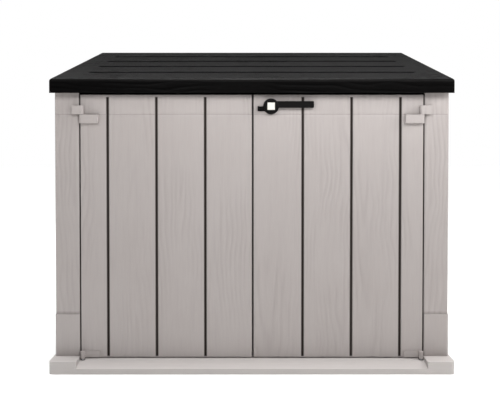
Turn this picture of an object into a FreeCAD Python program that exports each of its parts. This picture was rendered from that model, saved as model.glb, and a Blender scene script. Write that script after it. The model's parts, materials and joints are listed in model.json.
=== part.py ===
import FreeCAD
import Part
import math
import os

# Deck storage box: a resin garden store with two front doors and a lifting lid.
# Millimetres. X points right, Y to the rear and Z up. The origin is on the ground
# under the middle of the box, and the doors face -Y.

V = FreeCAD.Vector

# Overall size
WIDTH = 1310.0
DEPTH = 790.0
HEIGHT = 1130.0

# How the main pieces stand in from each other
APRON = 62.0  # base front ahead of the door faces
SIDE_LIP = 7.0  # base and lid beyond the side walls
BASE_REAR_LIP = 10.0  # base beyond the rear wall
LID_FRONT_OVERHANG = 37.0  # lid front ahead of the door faces
LID_REAR_OVERHANG = 33.0  # lid rear behind the rear wall

# Base
LEDGE_Z = 40.0  # top of the rim and the corner blocks
FLOOR_Z = 33.0  # top of the floor and the back of the ramp
RAMP_FRONT_Z = 17.5  # front edge of the ramp
BASE_SKIN = 4.0
BASE_RIB = 4.0
BASE_CORNER_R = 12.0
RIM_INSET = 8.0  # rim width inside the wall's outer face
LIP_HEIGHT = 18.0  # door stop above the floor
LIP_THICK = 6.0
FLOOR_COLUMNS = 12
FLOOR_ROWS = 6
BOSS_R = 13.0
BORE_FLOOR = 5.0  # material left under the blind holes in the base
ANCHOR_SPAN_X = 1000.0
ANCHOR_SPAN_Y = 450.0
ANCHOR_R = 4.5
ANCHOR_MARGIN = 60.0  # least distance from an anchor to the rim

# Walls
WALL = 4.5
POST_WIDTH = 81.0
POST_DEPTH = 35.0
WALL_INTO_LID = 25.0  # wall tops above the lid's lower edge
FLANGE_WIDTH = 25.0
TONGUE = 10.0  # how far the walls reach down into the base
SLOT_CLEAR = 0.3
BOOT_HEIGHT = 139.0
BOOT_PROUD = 2.0
BOOT_WRAP = 85.0

# Planks
PLANK = 160.5
GROOVE_WIDTH = 6.0
GROOVE_DEPTH = 2.2
GROOVE_TOP_GAP = 8.0  # door groove end below the door's top edge
LID_PLANK = 153.0
LID_GROOVE_DEPTH = 1.8
LID_GROOVE_INSET = 95.0  # plain border of the lid beyond the groove ends

# Doors
DOOR_DEPTH = 30.0
DOOR_SKIN = 4.5
DOOR_FLANGE = 3.5
DOOR_LINER = 3.0
LINER_CLEAR = 0.3
LINER_RIB = 3.0
DOOR_GAP_Z = 3.0  # above the floor and below the lid
HINGE_GAP = 2.0  # door edge to post
SEAM_X = 3.0  # middle of the gap between the doors
SEAM_GAP = 3.0
PLANK_CENTRE_X = 7.0  # the planks are laid out from here

# Door hinges
AXIS_INSET = 7.0  # hinge axis inboard of the door edge
AXIS_STANDOFF = 8.0  # hinge axis ahead of the door face
KNUCKLE_CLEAR = 0.6
PIN_R = 4.0
RUNNING = 0.05  # radial clearance of a turning pin
BLOCK_HEIGHT = 29.0
BRACKET_REACH = 31.0  # bracket beyond the hinge axis, over the post
BLOCK_REACH = 56.0  # door block beyond the hinge axis, over the door
HINGE_DROP = 68.0  # split between bracket and door block, below the lid's edge
HINGE_SPLIT = 0.5
PIVOT_HEIGHT = 22.0
PIVOT_PROUD = 3.0
PIVOT_LIFT = 2.0  # knuckle above the floor at the pivot
EDGE_R = 1.5
BUSH_R = 8.0

# Screws
SCREW_R = 2.2
SCREW_HEAD_R = 4.5
SCREW_HEAD = 2.4
SCREW_CLEAR = 0.1
CORNER_SCREWS = 4

# Rear rail and lid hinges
RAIL = 25.0
RAIL_WALL = 1.5
LID_AXIS_BEHIND = 16.0  # behind the rear wall
LID_AXIS_BELOW = 7.0  # below the lid's lower edge
LEAF_WIDTH = 80.0
LEAF = 3.0
LEAF_DROP = 40.0
BARREL_R = 7.0
LID_PIN_R = 3.0
KNUCKLE_SPLIT = 0.4
CENTRE_KNUCKLE = 30.0
LID_HINGE_INSET = 200.0  # outer hinges from the sides

# Lid
FASCIA = 45.0
LID_RISE = 178.0  # rear of the top above the top of the fascia
NOSE_RUN = 18.0  # bevel between the fascia and the sloping top
NOSE_RISE = 5.0
LID_SKIN = 4.0
LID_EDGE_R = 7.0
LID_BOSS_R = 6.0
LINER_DROP = 12.0  # lid liner's underside below the shell's underside
LID_LINER = 3.0
LINER_INSET = 5.0
LINER_RIBS = 5
BUMPER_R = 10.0
BUMPER_GAP = 0.3

# Latch
LATCH_X = 63.0
LATCH_DROP = 42.0  # below the lid's lower edge
HUB_R = 24.0
HUB_THICK = 14.0
ROSE_R = 26.0
ROSE = 4.0
ROSE_GAP = 0.5
SLEEVE_R = 8.9
SPINDLE_R = 6.0
SPINDLE_END_R = 4.0
ARM_LENGTH = 140.0
ARM_WIDTH = 22.0
ARM_RAISE = 6.0
ARM_THICK = 11.0
CAP = 24.0
CAP_PROUD = 1.0
CAP_SINK = 2.0
EAR_REACH = 44.0
EAR_HEIGHT = 16.0
EYE_THICK = 5.0
EYE_R = 4.0
EYE_PROUD = 28.5  # eye's front ahead of the door faces
EYE_RIM = 3.5  # material in front of the eye's hole
CAM_LENGTH = 85.0
CAM_WIDTH = 20.0
CAM = 4.0
CAM_GAP = 0.7

# Slide bolt on the left door
BOLT_INSET = 43.0  # from the middle of the seam
BOLT_R = 6.0
BOLT_BEHIND = 13.0  # behind the door's back
BOLT_LENGTH = 160.0
BOLT_LIFT = 6.0  # tip above the floor at rest
BOLT_TRAVEL = 25.0
SOCKET_CLEAR = 0.6
GUIDE_WIDTH = 42.0
GUIDE_HEIGHT = 14.0
GUIDE_LIFTS = (36.0, 126.0)  # above the floor
KNOB_LIFT = 88.0
KNOB_R = 5.0
KNOB_LENGTH = 18.0
KEEPER = 1.5
KEEPER_WIDTH = 52.0
KEEPER_DEPTH = 20.0

# Places worked out from the sizes above
HALF_W = WIDTH / 2
SIDE_X = HALF_W - SIDE_LIP
SIDE_IN_X = SIDE_X - WALL
FRONT_Y = -DEPTH / 2
DOOR_Y = FRONT_Y + APRON
DOOR_BACK_Y = DOOR_Y + DOOR_DEPTH
POST_BACK_Y = DOOR_Y + POST_DEPTH
REAR_Y = DEPTH / 2 - LID_REAR_OVERHANG
REAR_IN_Y = REAR_Y - WALL
BASE_REAR_Y = REAR_Y + BASE_REAR_LIP
LID_FRONT_Y = DOOR_Y - LID_FRONT_OVERHANG
LID_REAR_Y = DEPTH / 2
LID_FRONT_TOP = HEIGHT - LID_RISE
LID_LOW_Z = LID_FRONT_TOP - FASCIA
NOSE_Y = LID_FRONT_Y + NOSE_RUN
LID_SLOPE = (LID_RISE - NOSE_RISE) / (LID_REAR_Y - NOSE_Y)
POST_TOP = LID_LOW_Z + LID_SLOPE * LID_FRONT_OVERHANG + WALL_INTO_LID
CHEEK_X = SIDE_X - POST_WIDTH
DOOR_EDGE_X = CHEEK_X - HINGE_GAP
DOOR_LOW_Z = FLOOR_Z + DOOR_GAP_Z
DOOR_TOP_Z = LID_LOW_Z - DOOR_GAP_Z
AXIS_X = DOOR_EDGE_X - AXIS_INSET
AXIS_Y = DOOR_Y - AXIS_STANDOFF
KNUCKLE_R = AXIS_STANDOFF - KNUCKLE_CLEAR
HINGE_Z = LID_LOW_Z - HINGE_DROP
FLOOR_X = SIDE_X - RIM_INSET
FLOOR_REAR_Y = REAR_Y - RIM_INSET
FLOOR_MID_Y = (POST_BACK_Y + FLOOR_REAR_Y) / 2
LID_AXIS_Y = REAR_Y + LID_AXIS_BEHIND
LID_AXIS_Z = LID_LOW_Z + LID_SLOPE * (LID_REAR_Y - LID_FRONT_Y) - LID_AXIS_BELOW
LATCH_Z = LID_LOW_Z - LATCH_DROP
HUB_BACK_Y = DOOR_Y - ROSE - ROSE_GAP
HUB_FRONT_Y = HUB_BACK_Y - HUB_THICK
CAM_Y = DOOR_BACK_Y + CAM_GAP
BOLT_X = SEAM_X - BOLT_INSET
BOLT_Y = DOOR_BACK_Y + BOLT_BEHIND
PIVOT_LOW_Z = FLOOR_Z + PIVOT_LIFT
RAIL_LOW_Z = LID_AXIS_Z - LEAF_DROP - LID_AXIS_BELOW
LEFT, RIGHT = -1, 1


def box(x, y, z):
    """A block between two values along each axis, in either order."""
    low = V(min(x), min(y), min(z))
    return Part.makeBox(max(x) - low.x, max(y) - low.y, max(z) - low.z, low)


def bar(radius, start, end):
    """A round bar between two points."""
    start, end = V(*start), V(*end)
    return Part.makeCylinder(radius, (end - start).Length, start, end - start)


def prism_x(outline, x):
    """A solid with a (y, z) outline, running between two x values."""
    points = [V(min(x), y, z) for y, z in outline + outline[:1]]
    return Part.Face(Part.makePolygon(points)).extrude(V(max(x) - min(x), 0, 0))


def joined(first, *others):
    """One solid from pieces that meet."""
    return first.fuse(list(others)).removeSplitter()


def mirrored(shape):
    """The same shape on the other side of the box."""
    return shape.mirror(V(0, 0, 0), V(1, 0, 0))


def evenly(low, high, pitch):
    """Places of the grooves between equal planks, about one pitch wide."""
    count = max(2, round((high - low) / pitch))
    return [low + (high - low) * i / count for i in range(1, count)]


def centred(middle, size):
    """The two ends of a stretch of this size about its middle."""
    return (middle - size / 2, middle + size / 2)


def screw(seat, tip):
    """A pan-head screw whose head sits on the seat and whose shank ends at the tip."""
    seat, tip = V(*seat), V(*tip)
    out = (seat - tip).normalize()
    head = bar(SCREW_HEAD_R, seat, seat + out * SCREW_HEAD)
    return head.fuse(bar(SCREW_R, seat, tip)).removeSplitter()


def screw_hole(seat, tip):
    """The hole that a screw's shank passes through with a little room."""
    return bar(SCREW_R + SCREW_CLEAR, V(*seat), V(*tip))


# Base


def ramp_z(y):
    """Height of the ramp in front of the doors."""
    return RAMP_FRONT_Z + (FLOOR_Z - RAMP_FRONT_Z) * (y - FRONT_Y) / APRON


def pockets(x, y, top, columns, rows):
    """Hollows under the base, open downwards, with ribs between them."""
    wide = (x[1] - x[0] - BASE_RIB * (columns - 1)) / columns
    deep = (y[1] - y[0] - BASE_RIB * (rows - 1)) / rows
    hollows = []
    for i in range(columns):
        for j in range(rows):
            x0 = x[0] + i * (wide + BASE_RIB)
            y0 = y[0] + j * (deep + BASE_RIB)
            hollows.append(box((x0, x0 + wide), (y0, y0 + deep), (-1, top)))
    return hollows


def anchor_points():
    """Where the four floor anchors go, inside the rim."""
    half_x = min(ANCHOR_SPAN_X / 2, FLOOR_X - ANCHOR_MARGIN)
    half_y = min(ANCHOR_SPAN_Y / 2, (FLOOR_REAR_Y - POST_BACK_Y) / 2 - ANCHOR_MARGIN)
    return [(x, FLOOR_MID_Y + y) for x in (-half_x, half_x) for y in (-half_y, half_y)]


def wall_slots():
    """Slots in the rim that take the tongues of the side and rear walls."""
    z = (LEDGE_Z - TONGUE - SLOT_CLEAR, LEDGE_Z + 1)
    side_y = (POST_BACK_Y + 20 - SLOT_CLEAR, REAR_IN_Y - 20 + SLOT_CLEAR)
    side_x = (SIDE_IN_X - SLOT_CLEAR, SIDE_X + SLOT_CLEAR)
    side = box(side_x, side_y, z)
    rear_x = centred(0, 2 * (FLOOR_X - 20 + SLOT_CLEAR))
    rear = box(rear_x, (REAR_IN_Y - SLOT_CLEAR, REAR_Y + SLOT_CLEAR), z)
    return [side, mirrored(side), rear]


def base_tray():
    """Floor, rim, front ramp and corner blocks in one moulding, ribbed below."""
    tray = box((-HALF_W, HALF_W), (FRONT_Y, BASE_REAR_Y), (0, LEDGE_Z))
    upright = [e for e in tray.Edges if abs(e.tangentAt(e.FirstParameter).z) > 0.9]
    tray = tray.makeFillet(BASE_CORNER_R, upright)
    floor = box((-FLOOR_X, FLOOR_X), (POST_BACK_Y, FLOOR_REAR_Y), (FLOOR_Z, LEDGE_Z + 1))
    ramp_cut = prism_x(
        [
            (FRONT_Y - 1, ramp_z(FRONT_Y - 1)),
            (DOOR_Y, FLOOR_Z),
            (POST_BACK_Y, FLOOR_Z),
            (POST_BACK_Y, LEDGE_Z + 1),
            (FRONT_Y - 1, LEDGE_Z + 1),
        ],
        (-CHEEK_X, CHEEK_X),
    )
    inside_x = FLOOR_X - BASE_SKIN
    hollows = pockets(
        (-inside_x, inside_x),
        (POST_BACK_Y + BASE_SKIN, FLOOR_REAR_Y - BASE_SKIN),
        FLOOR_Z - BASE_SKIN,
        FLOOR_COLUMNS,
        FLOOR_ROWS,
    )
    front = (FRONT_Y + BASE_SKIN, POST_BACK_Y)
    ramp_x = CHEEK_X - BASE_SKIN
    hollows += pockets((-ramp_x, ramp_x), front, RAMP_FRONT_Z - BASE_SKIN, FLOOR_COLUMNS, 1)
    corner_x = (CHEEK_X + BASE_SKIN, HALF_W - BASE_SKIN)
    corner = pockets(corner_x, front, LEDGE_Z - BASE_SKIN, 1, 1)[0]
    tray = tray.cut([floor, ramp_cut, corner, mirrored(corner)] + hollows)
    bosses = [bar(BOSS_R, (x, y, 0), (x, y, FLOOR_Z - 1)) for x, y in anchor_points()]
    bosses.append(bar(BOSS_R, (BOLT_X, BOLT_Y, 0), (BOLT_X, BOLT_Y, FLOOR_Z - 1)))
    pivots = [(side * AXIS_X, AXIS_Y) for side in (LEFT, RIGHT)]
    bosses += [bar(BOSS_R, (x, y, 0), (x, y, RAMP_FRONT_Z)) for x, y in pivots]
    lip_y = (DOOR_BACK_Y + KNUCKLE_CLEAR, DOOR_BACK_Y + KNUCKLE_CLEAR + LIP_THICK)
    lip_z = (FLOOR_Z - 1, FLOOR_Z + LIP_HEIGHT)
    lip_ends = [(-CHEEK_X, BOLT_X - KEEPER_WIDTH / 2), (BOLT_X + KEEPER_WIDTH / 2, CHEEK_X)]
    lips = [box(x, lip_y, lip_z) for x in lip_ends]
    tray = joined(tray, *bosses, *lips)
    holes = [bar(ANCHOR_R, (x, y, -1), (x, y, FLOOR_Z + 1)) for x, y in anchor_points()]
    holes += [bar(BUSH_R, (x, y, BORE_FLOOR), (x, y, LEDGE_Z)) for x, y in pivots]
    holes.append(bolt_socket())
    holes.append(keeper_plate_block())
    holes += [screw_hole(seat, tip) for seat, tip in keeper_screw_lines()]
    return tray.cut(holes + wall_slots())


def bolt_socket():
    """The hole that the slide bolt drops into, a little deeper than its travel."""
    low = FLOOR_Z + BOLT_LIFT - BOLT_TRAVEL - 2
    return bar(BOLT_R + SOCKET_CLEAR, (BOLT_X, BOLT_Y, low), (BOLT_X, BOLT_Y, LEDGE_Z))


def keeper_plate_block():
    """The space of the keeper plate, let into the floor."""
    x = centred(BOLT_X, KEEPER_WIDTH)
    return box(x, centred(BOLT_Y, KEEPER_DEPTH), (FLOOR_Z - KEEPER, FLOOR_Z))


def keeper_screw_lines():
    """Seat and tip of each keeper screw."""
    offset = KEEPER_WIDTH / 2 - 6
    return [
        ((BOLT_X + side * offset, BOLT_Y, FLOOR_Z), (BOLT_X + side * offset, BOLT_Y, BORE_FLOOR))
        for side in (LEFT, RIGHT)
    ]


def bolt_keeper():
    """Steel plate round the hole that the slide bolt drops into."""
    screws = [screw_hole(seat, tip) for seat, tip in keeper_screw_lines()]
    return keeper_plate_block().cut([bolt_socket()] + screws)


def pivot_bush(side):
    """Bush pressed into the base, in which a door's lower pin turns."""
    x = side * AXIS_X
    top = ramp_z(AXIS_Y - BUSH_R)
    ring = bar(BUSH_R, (x, AXIS_Y, BORE_FLOOR), (x, AXIS_Y, top))
    return ring.cut(bar(PIN_R + RUNNING, (x, AXIS_Y, 0), (x, AXIS_Y, LEDGE_Z)))


# Walls


def corner_screw_lines(side):
    """Seat and tip of the screws that hold the rear wall to a side wall."""
    x = side * (SIDE_IN_X - FLANGE_WIDTH / 2)
    low, high = LEDGE_Z + 70, RAIL_LOW_Z - 70
    step = (high - low) / (CORNER_SCREWS - 1)
    heights = [low + i * step for i in range(CORNER_SCREWS)]
    return [((x, REAR_Y, z), (x, REAR_IN_Y - WALL - 6, z)) for z in heights]


def bracket_screw_lines(side):
    """Seat and tip of the screws that hold an upper bracket, from inside the post."""
    x = side * (CHEEK_X + AXIS_X + BRACKET_REACH) / 2
    heights = [HINGE_Z + BLOCK_HEIGHT * share for share in (0.25, 0.75)]
    return [((x, DOOR_Y + WALL, z), (x, DOOR_Y - 10, z)) for z in heights]


def side_panel(side):
    """Side wall with its front post, rear flange, lower boot and planked outside."""
    outline = [
        (DOOR_Y, LEDGE_Z),
        (DOOR_Y, wall_top_z(DOOR_Y)),
        (REAR_IN_Y, wall_top_z(REAR_IN_Y)),
        (REAR_IN_Y, LEDGE_Z),
    ]
    wall = prism_x(outline, (SIDE_IN_X, SIDE_X))
    tongue_y = (POST_BACK_Y + 20, REAR_IN_Y - 20)
    tongue = box((SIDE_IN_X, SIDE_X), tongue_y, (LEDGE_Z - TONGUE, LEDGE_Z + 1))
    post = box((CHEEK_X, SIDE_X), (DOOR_Y, POST_BACK_Y), (LEDGE_Z, POST_TOP))
    post_z_inside = (LEDGE_Z - 1, POST_TOP - WALL)
    inside_y = (DOOR_Y + WALL, POST_BACK_Y - WALL)
    post_hollow = box((CHEEK_X + WALL, SIDE_IN_X), inside_y, post_z_inside)
    flange_z = (LEDGE_Z + 30, RAIL_LOW_Z - 10)
    flange = box((SIDE_IN_X - FLANGE_WIDTH, SIDE_X), (REAR_IN_Y - WALL, REAR_IN_Y), flange_z)
    boot_z = (LEDGE_Z, LEDGE_Z + BOOT_HEIGHT)
    boot_front = box((CHEEK_X, SIDE_X + BOOT_PROUD), (DOOR_Y - BOOT_PROUD, DOOR_Y + 1), boot_z)
    boot_y = (DOOR_Y - BOOT_PROUD, DOOR_Y + BOOT_WRAP)
    boot_side = box((SIDE_X - 1, SIDE_X + BOOT_PROUD), boot_y, boot_z)
    panel = joined(wall, tongue, post, flange, boot_front, boot_side)
    cuts = [post_hollow, bumper_stem(RIGHT, SCREW_R + SCREW_CLEAR)]
    for y in evenly(DOOR_Y, REAR_Y, PLANK):
        groove_x = (SIDE_X - GROOVE_DEPTH, SIDE_X + BOOT_PROUD + 1)
        groove_z = (LEDGE_Z + GROOVE_WIDTH, HEIGHT)
        cuts.append(box(groove_x, centred(y, GROOVE_WIDTH), groove_z))
    lines = corner_screw_lines(RIGHT) + bracket_screw_lines(RIGHT)
    cuts += [screw_hole(seat, tip) for seat, tip in lines]
    panel = panel.cut(cuts)
    return mirrored(panel) if side == LEFT else panel


def rear_panel():
    """Rear wall, planked outside, with a tongue into the base."""
    wall = box((-SIDE_X, SIDE_X), (REAR_IN_Y, REAR_Y), (LEDGE_Z, wall_top_z(REAR_IN_Y)))
    tongue_z = (LEDGE_Z - TONGUE, LEDGE_Z + 1)
    tongue = box(centred(0, 2 * (FLOOR_X - 20)), (REAR_IN_Y, REAR_Y), tongue_z)
    cuts = []
    hinge_room = (LEAF_WIDTH + GROOVE_WIDTH) / 2
    for x in evenly(-SIDE_X, SIDE_X, PLANK):
        under_hinge = any(abs(x - place) < hinge_room for place in lid_hinge_places())
        top = RAIL_LOW_Z - GROOVE_WIDTH if under_hinge else HEIGHT
        groove_y = (REAR_Y - GROOVE_DEPTH, REAR_Y + 1)
        cuts.append(box(centred(x, GROOVE_WIDTH), groove_y, (LEDGE_Z + GROOVE_WIDTH, top)))
    lines = corner_screw_lines(LEFT) + corner_screw_lines(RIGHT) + body_leaf_screw_lines()
    cuts += [screw_hole(seat, tip) for seat, tip in lines]
    return joined(wall, tongue).cut(cuts)


def rear_rail():
    """Square steel tube behind the rear wall's top that carries the lid hinges."""
    x = (-SIDE_IN_X, SIDE_IN_X)
    y = (REAR_IN_Y - RAIL, REAR_IN_Y)
    z = (RAIL_LOW_Z, RAIL_LOW_Z + RAIL)
    inside_y = (y[0] + RAIL_WALL, y[1] - RAIL_WALL)
    inside_z = (z[0] + RAIL_WALL, z[1] - RAIL_WALL)
    tube = box(x, y, z).cut(box((x[0] - 1, x[1] + 1), inside_y, inside_z))
    return tube.cut([screw_hole(seat, tip) for seat, tip in body_leaf_screw_lines()])


def bumper_stem(side, radius):
    """The stem of a lid bumper through the top of a post."""
    x = side * (CHEEK_X + SIDE_X) / 2
    y = (DOOR_Y + POST_BACK_Y) / 2
    return bar(radius, (x, y, POST_TOP - WALL - 3), (x, y, POST_TOP + 1))


def lid_bumper(side):
    """Rubber button on a post's top that the closed lid rests on."""
    x = side * (CHEEK_X + SIDE_X) / 2
    y = (DOOR_Y + POST_BACK_Y) / 2
    top = liner_low_z(y - BUMPER_R) - BUMPER_GAP
    button = bar(BUMPER_R, (x, y, POST_TOP), (x, y, top))
    return joined(button, bumper_stem(side, SCREW_R))


# Door hinges


def softened(block, front):
    """The same block with the edges round its front face eased."""
    edges = [e for e in block.Edges if e.BoundBox.YMax < front + 0.01]
    return block.makeFillet(EDGE_R, edges)


def upper_bracket(side):
    """Bracket on a post's front whose pin holds the top of a door."""
    z = (HINGE_Z, HINGE_Z + BLOCK_HEIGHT)
    front = AXIS_Y - AXIS_STANDOFF
    block = box((CHEEK_X, AXIS_X + BRACKET_REACH), (front, DOOR_Y), z)
    arm = box((AXIS_X, CHEEK_X), (AXIS_Y - KNUCKLE_R, AXIS_Y + KNUCKLE_R), z)
    knuckle = bar(KNUCKLE_R, (AXIS_X, AXIS_Y, z[0]), (AXIS_X, AXIS_Y, z[1]))
    bracket = joined(softened(block, front), arm, knuckle)
    hole = bar(PIN_R, (AXIS_X, AXIS_Y, z[0] - 1), (AXIS_X, AXIS_Y, z[1] - 4))
    bracket = bracket.cut([hole] + [screw_hole(s, t) for s, t in bracket_screw_lines(RIGHT)])
    return mirrored(bracket) if side == LEFT else bracket


def upper_pin(side):
    """Steel pin fixed in an upper bracket and hanging into the door block."""
    x = side * AXIS_X
    low = HINGE_Z - HINGE_SPLIT - BLOCK_HEIGHT + 5
    return bar(PIN_R, (x, AXIS_Y, low), (x, AXIS_Y, HINGE_Z + BLOCK_HEIGHT - 4))


def block_screw_lines(side, z):
    """Seat and tip of a door block's two screws, driven from inside the door."""
    x = [side * (AXIS_X - reach) for reach in (16, BLOCK_REACH - 9)]
    return [((v, DOOR_Y + DOOR_SKIN, z), (v, DOOR_Y - 2.5, z)) for v in x]


def block_middle_z():
    """Middle height of the upper door blocks."""
    return HINGE_Z - HINGE_SPLIT - BLOCK_HEIGHT / 2


def pivot_middle_z():
    """Middle height of the lower door blocks."""
    return DOOR_LOW_Z + PIVOT_HEIGHT / 2


def door_screw_lines(side):
    """Seat and tip of all screws that hold one door's blocks."""
    return block_screw_lines(side, block_middle_z()) + block_screw_lines(side, pivot_middle_z())


def door_block(side):
    """Upper hinge block on a door, turning on the bracket's pin."""
    top = HINGE_Z - HINGE_SPLIT
    z = (top - BLOCK_HEIGHT, top)
    front = AXIS_Y - AXIS_STANDOFF
    block = box((AXIS_X - BLOCK_REACH, AXIS_X), (front, DOOR_Y), z)
    block = softened(block, front)
    knuckle = bar(KNUCKLE_R, (AXIS_X, AXIS_Y, z[0]), (AXIS_X, AXIS_Y, z[1]))
    hole = bar(PIN_R + RUNNING, (AXIS_X, AXIS_Y, z[0] + 4), (AXIS_X, AXIS_Y, z[1] + 1))
    screws = [screw_hole(s, t) for s, t in block_screw_lines(RIGHT, block_middle_z())]
    block = joined(block, knuckle).cut([hole] + screws)
    return mirrored(block) if side == LEFT else block


def pivot_block(side):
    """Lower block on a door with the knuckle that holds the pivot pin."""
    z = (DOOR_LOW_Z, DOOR_LOW_Z + PIVOT_HEIGHT)
    plate = box((AXIS_X - BLOCK_REACH, AXIS_X), (DOOR_Y - PIVOT_PROUD, DOOR_Y), z)
    web = box((AXIS_X - KNUCKLE_R, AXIS_X), (AXIS_Y, DOOR_Y), z)
    knuckle = bar(KNUCKLE_R, (AXIS_X, AXIS_Y, PIVOT_LOW_Z), (AXIS_X, AXIS_Y, z[1]))
    hole = bar(PIN_R, (AXIS_X, AXIS_Y, 0), (AXIS_X, AXIS_Y, z[1] - 4))
    screws = [screw_hole(s, t) for s, t in block_screw_lines(RIGHT, pivot_middle_z())]
    block = joined(plate, web, knuckle).cut([hole] + screws)
    return mirrored(block) if side == LEFT else block


def pivot_pin(side):
    """Steel pin fixed in a pivot block and turning in the base's bush."""
    x = side * AXIS_X
    return bar(PIN_R, (x, AXIS_Y, BORE_FLOOR + 3), (x, AXIS_Y, DOOR_LOW_Z + PIVOT_HEIGHT - 4))


# Doors


def door_span(side):
    """The x values of a door's hinge edge and meeting edge."""
    return (side * DOOR_EDGE_X, SEAM_X + side * SEAM_GAP / 2)


def door_groove_places(side):
    """Plank grooves on a door, counted out from the middle of the planking."""
    count = int((DOOR_EDGE_X - 3 * GROOVE_WIDTH) / PLANK)
    return [PLANK_CENTRE_X + side * PLANK * i for i in range(1, count + 1)]


def latch_bore(radius):
    """A hole through the right door for the latch."""
    return bar(radius, (LATCH_X, DOOR_Y - 1, LATCH_Z), (LATCH_X, DOOR_BACK_Y + 1, LATCH_Z))


def door_skin(side):
    """Planked outer shell of a door, with its edges turned inwards."""
    x0, x1 = sorted(door_span(side))
    pan = box((x0, x1), (DOOR_Y, DOOR_BACK_Y), (DOOR_LOW_Z, DOOR_TOP_Z))
    inside_x = (x0 + DOOR_FLANGE, x1 - DOOR_FLANGE)
    inside_z = (DOOR_LOW_Z + DOOR_FLANGE, DOOR_TOP_Z - DOOR_FLANGE)
    cuts = [box(inside_x, (DOOR_Y + DOOR_SKIN, DOOR_BACK_Y + 1), inside_z)]
    groove_z = (DOOR_LOW_Z + GROOVE_WIDTH / 2, DOOR_TOP_Z - GROOVE_TOP_GAP)
    for x in door_groove_places(side):
        cuts.append(box(centred(x, GROOVE_WIDTH), (DOOR_Y - 1, DOOR_Y + GROOVE_DEPTH), groove_z))
    cuts += [screw_hole(seat, tip) for seat, tip in door_screw_lines(side)]
    if side == RIGHT:
        cuts.append(latch_bore(SLEEVE_R + SCREW_CLEAR))
        cuts += [screw_hole(seat, tip) for seat, tip in rose_screw_lines()]
    return pan.cut(cuts)


def door_liner(side):
    """Inner panel of a door, ribbed towards the outer shell."""
    x0, x1 = sorted(door_span(side))
    edge = DOOR_FLANGE + LINER_CLEAR
    x = (x0 + edge, x1 - edge)
    z = (DOOR_LOW_Z + edge, DOOR_TOP_Z - edge)
    plate = box(x, (DOOR_BACK_Y - DOOR_LINER, DOOR_BACK_Y), z)
    rib_y = (DOOR_Y + DOOR_SKIN, DOOR_BACK_Y - DOOR_LINER)
    ribs = [
        box(centred(x[0] + (x[1] - x[0]) * i / 4, LINER_RIB), rib_y, (z[0] + 40, z[1] - 120))
        for i in (1, 2, 3)
    ]
    ribs += [
        box((x[0] + 80, x[1] - 80), rib_y, centred(z[0] + (z[1] - z[0]) * i / 4, LINER_RIB))
        for i in (1, 2, 3)
    ]
    liner = joined(plate, *ribs)
    if side == RIGHT:
        return liner.cut(latch_bore(SLEEVE_R + SCREW_CLEAR))
    return liner.cut([screw_hole(seat, tip) for seat, tip in guide_screw_lines()])


# Latch


def rose_screw_lines():
    """Seat and tip of the screws that hold the latch's rose to the door."""
    seat_y = DOOR_Y - ROSE + SCREW_HEAD
    reach = (SLEEVE_R + ROSE_R) / 2
    places = [(LATCH_X, LATCH_Z + reach), (LATCH_X, LATCH_Z - reach)]
    return [((x, seat_y, z), (x, DOOR_Y + 12, z)) for x, z in places]


def latch_rose():
    """Back plate of the latch, with a sleeve through the door and a padlock eye."""
    y = (DOOR_Y - ROSE, DOOR_Y)
    plate = bar(ROSE_R, (LATCH_X, y[0], LATCH_Z), (LATCH_X, y[1], LATCH_Z))
    sleeve = bar(SLEEVE_R, (LATCH_X, y[1] - 1, LATCH_Z), (LATCH_X, DOOR_BACK_Y, LATCH_Z))
    ear_z = (LATCH_Z - EAR_HEIGHT, LATCH_Z)
    ear_x = LATCH_X - EAR_REACH
    foot = box((ear_x, LATCH_X - SLEEVE_R), y, ear_z)
    eye_front = DOOR_Y - EYE_PROUD
    eye = box((ear_x, ear_x + EYE_THICK), (eye_front, y[1]), ear_z)
    rose = joined(plate, sleeve, foot, eye)
    cuts = [bar(SPINDLE_R + RUNNING, (LATCH_X, y[0] - 1, LATCH_Z), (LATCH_X, CAM_Y, LATCH_Z))]
    eye_y = eye_front + EYE_RIM + EYE_R
    eye_z = LATCH_Z - EAR_HEIGHT / 2
    cuts.append(bar(EYE_R, (ear_x - 1, eye_y, eye_z), (ear_x + EYE_THICK + 1, eye_y, eye_z)))
    for seat, tip in rose_screw_lines():
        cuts.append(screw_hole(seat, tip))
        head_room = SCREW_HEAD_R + SCREW_CLEAR
        cuts.append(bar(head_room, seat, (seat[0], seat[1] - SCREW_HEAD - 1, seat[2])))
    return rose.cut(cuts)


def latch_handle():
    """Round hub with its lever arm and the spindle through the door."""
    hub = bar(HUB_R, (LATCH_X, HUB_FRONT_Y, LATCH_Z), (LATCH_X, HUB_BACK_Y, LATCH_Z))
    rim = [e for e in hub.Edges if e.Closed and abs(e.BoundBox.YMax - HUB_FRONT_Y) < 0.01]
    hub = hub.makeFillet(2.0, rim)
    arm_z = centred(LATCH_Z + ARM_RAISE, ARM_WIDTH)
    arm_y = (HUB_BACK_Y - ARM_THICK, HUB_BACK_Y)
    arm = box((LATCH_X + HUB_R / 2, LATCH_X + ARM_LENGTH), arm_y, arm_z)
    end = LATCH_X + ARM_LENGTH - 0.01
    tip = [e for e in arm.Edges if e.BoundBox.XMin > end and e.BoundBox.ZLength < 0.01]
    arm = arm.makeFillet(ARM_THICK / 3, tip)
    spindle = bar(SPINDLE_R, (LATCH_X, HUB_BACK_Y - 1, LATCH_Z), (LATCH_X, CAM_Y, LATCH_Z))
    stub = bar(SPINDLE_END_R, (LATCH_X, CAM_Y - 1, LATCH_Z), (LATCH_X, CAM_Y + CAM, LATCH_Z))
    recess_size = CAP + 2 * SLOT_CLEAR
    recess_y = (HUB_FRONT_Y - 1, HUB_FRONT_Y + CAP_SINK)
    recess = box(centred(LATCH_X, recess_size), recess_y, centred(LATCH_Z, recess_size))
    seat, tip_point = latch_screw_line()
    return joined(hub, arm, spindle, stub).cut([recess, screw_hole(seat, tip_point)])


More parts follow.
